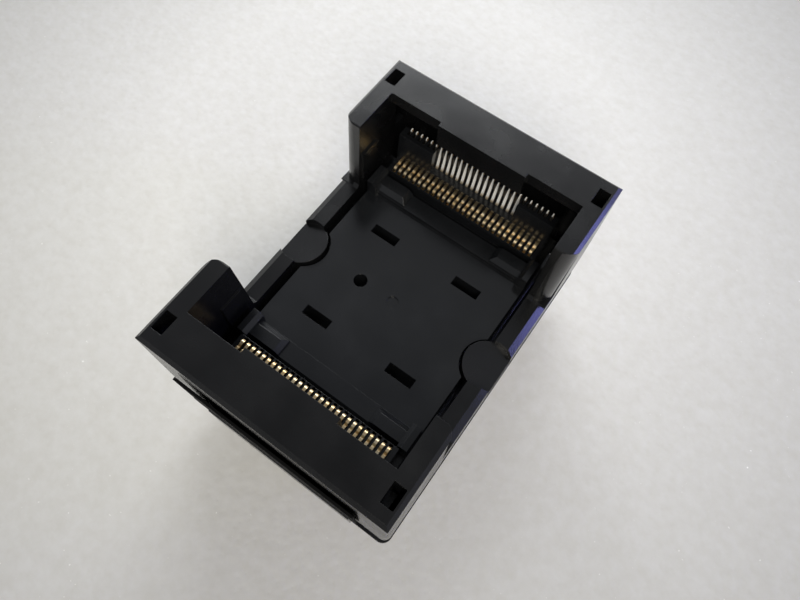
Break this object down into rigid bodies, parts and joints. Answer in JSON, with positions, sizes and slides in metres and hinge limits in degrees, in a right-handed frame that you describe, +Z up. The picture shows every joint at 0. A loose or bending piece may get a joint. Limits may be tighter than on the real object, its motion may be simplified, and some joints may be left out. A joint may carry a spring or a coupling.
{
  "type": "ic test socket",
  "caption": "Open-top zero-insertion-force test socket for a thin small-outline chip package, with rows of stamped contacts at both ends and a spring-loaded saddle cover.",
  "frame": {"origin": "middle of the seating plane on the underside of the base, where the socket stands on its board; the solder tails and locating pegs go below it", "axes": "+Z up from the board, out of the open top; +X along the contact rows; +Y along the socket, towards the far row of contacts. Seen from above with +Y away, the round index hole in the seat lies on the left"},
  "size_m": [0.0206, 0.0302, 0.018],
  "materials": {
    "base_plastic": "moulded, fine matt",
    "cover_plastic": "moulded, satin",
    "contact_gold": "gold-plated stamped strip",
    "spring_steel": "bright wire"
  },
  "bodies": {
    "base": {"base_housing": "base_plastic", "contact_near_01": "contact_gold", "contact_near_02": "contact_gold", "contact_near_03": "contact_gold", "contact_near_04": "contact_gold", "contact_near_05": "contact_gold", "contact_near_06": "contact_gold", "contact_near_07": "contact_gold", "contact_near_08": "contact_gold", "contact_near_09": "contact_gold", "contact_near_10": "contact_gold", "contact_near_11": "contact_gold", "contact_near_12": "contact_gold", "contact_near_13": "contact_gold", "contact_near_14": "contact_gold", "contact_near_15": "contact_gold", "contact_near_16": "contact_gold", "contact_near_17": "contact_gold", "contact_near_18": "contact_gold", "contact_near_19": "contact_gold", "contact_near_20": "contact_gold", "contact_near_21": "contact_gold", "contact_near_22": "contact_gold", "contact_near_23": "contact_gold", "contact_near_24": "contact_gold", "contact_near_25": "contact_gold", "contact_near_26": "contact_gold", "contact_near_27": "contact_gold", "contact_near_28": "contact_gold", "contact_far_01": "contact_gold", "contact_far_02": "contact_gold", "contact_far_03": "contact_gold", "contact_far_04": "contact_gold", "contact_far_05": "contact_gold", "contact_far_06": "contact_gold", "contact_far_07": "contact_gold", "contact_far_08": "contact_gold", "contact_far_09": "contact_gold", "contact_far_10": "contact_gold", "contact_far_11": "contact_gold", "contact_far_12": "contact_gold", "contact_far_13": "contact_gold", "contact_far_14": "contact_gold", "contact_far_15": "contact_gold", "contact_far_16": "contact_gold", "contact_far_17": "contact_gold", "contact_far_18": "contact_gold", "contact_far_19": "contact_gold", "contact_far_20": "contact_gold", "contact_far_21": "contact_gold", "contact_far_22": "contact_gold", "contact_far_23": "contact_gold", "contact_far_24": "contact_gold", "contact_far_25": "contact_gold", "contact_far_26": "contact_gold", "contact_far_27": "contact_gold", "contact_far_28": "contact_gold", "left_spring": "spring_steel", "right_spring": "spring_steel"},
    "cover": {"cover": "cover_plastic"}
  },
  "joints": [
    {"name": "cover_press", "type": "slide", "parent": "base", "child": "cover", "axis": [0, 0, -1], "range_m": [0, 0.0022], "stiffness_N_per_m": 100, "springref_m": -0.0003, "deforming": ["left_spring", "right_spring"]}
  ]
}
